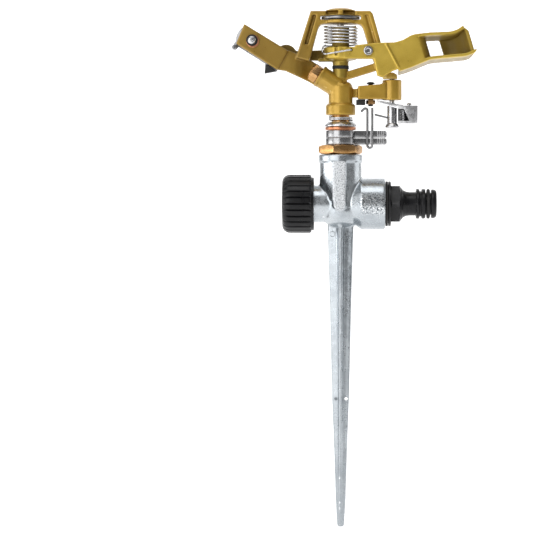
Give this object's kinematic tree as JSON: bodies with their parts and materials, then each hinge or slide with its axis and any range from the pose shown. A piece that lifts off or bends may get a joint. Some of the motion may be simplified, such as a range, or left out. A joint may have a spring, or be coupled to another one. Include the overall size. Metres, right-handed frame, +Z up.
{
  "type": "garden impact sprinkler",
  "caption": "Impact sprinkler with swinging arm, jet deflector and part-circle trip on a metal ground spike, with a push-fit hose connector.",
  "frame": {"origin": "tip of the ground spike, on the vertical axis of the spike and the swivel bearing", "axes": "+Z up the spike; +X along the water branch towards the hose connector; -Y towards the front, where the arm crosses its frame"},
  "size_m": [0.1408, 0.0336, 0.2998],
  "materials": {
    "zinc": "bare die-cast zinc, bright and slightly grainy",
    "gold_paint": "semi-gloss gold-olive enamel over zinc die casting",
    "brass": "machined brass",
    "copper": "copper washer, dull",
    "steel": "zinc-plated spring steel and wire",
    "black_plastic": "moulded black plastic, satin",
    "rubber": "matt black rubber",
    "nylon": "natural nylon"
  },
  "bodies": {
    "base": {"spike_body": "zinc", "end_cap": "black_plastic", "cap_gasket": "rubber", "hose_connector": "black_plastic", "connector_gasket": "rubber", "connector_oring": "rubber", "bearing_nut": "brass", "stem_seal": "rubber", "stem_washer": "nylon", "thrust_washer": "copper", "cone_washer": "steel", "brake_spring": "steel"},
    "lower_band": {"lower_collar": "steel"},
    "upper_band": {"upper_collar": "steel"},
    "head": {"bearing_stem": "brass", "head_body": "gold_paint", "nozzle": "brass", "spindle": "steel", "spring_seat": "steel", "arm_washer": "rubber", "bridge_screw": "rubber", "bridge_nut": "brass", "bridge_pad": "rubber", "arm_spring": "steel", "flap_screw": "steel", "flap_ring": "copper", "flap_washer": "rubber", "flap_nut": "steel"},
    "swing_arm": {"arm": "gold_paint", "arm_rivet": "steel"},
    "flap": {"deflector_flap": "steel", "flap_bumper": "rubber"},
    "trip": {"trip_spindle": "steel", "trip_hammer": "gold_paint", "trip_bracket": "steel", "bracket_rivet": "steel", "trip_spring_pin": "steel", "trip_spring": "steel"},
    "wire": {"trip_wire": "steel", "trip_rod": "steel"}
  },
  "joints": [
    {"name": "head_swivel", "type": "hinge", "parent": "base", "child": "head", "pos_m": [0, 0, 0.238], "axis": [0, 0, 1], "range_deg": [-270, 0]},
    {"name": "lower_collar_turn", "type": "hinge", "parent": "base", "child": "lower_band", "pos_m": [0, 0, 0.2211], "axis": [0, 0, 1], "range_deg": [0, 40]},
    {"name": "upper_collar_turn", "type": "hinge", "parent": "base", "child": "upper_band", "pos_m": [0, 0, 0.225], "axis": [0, 0, 1], "range_deg": [0, 40]},
    {"name": "arm_swing", "type": "hinge", "parent": "head", "child": "swing_arm", "pos_m": [0, 0, 0.2668], "axis": [0, 0, 1], "range_deg": [-120, 0], "stiffness_Nm_per_rad": 0.003, "springref_deg": 17.19, "deforming": ["arm_spring"]},
    {"name": "flap_tilt", "type": "hinge", "parent": "head", "child": "flap", "pos_m": [-0.0511, 0.0059, 0.2812], "axis": [0, 1, 0], "range_deg": [0, 30]},
    {"name": "trip_flip", "type": "hinge", "parent": "head", "child": "trip", "pos_m": [0.0296, 0, 0.2466], "axis": [0, 0, 1], "range_deg": [0, 12]},
    {"name": "trip_wire_lift", "type": "hinge", "parent": "trip", "child": "wire", "pos_m": [0.028, 0, 0.2363], "axis": [-0.9477, -0.2256, 0.2256], "range_deg": [0, 100]}
  ]
}
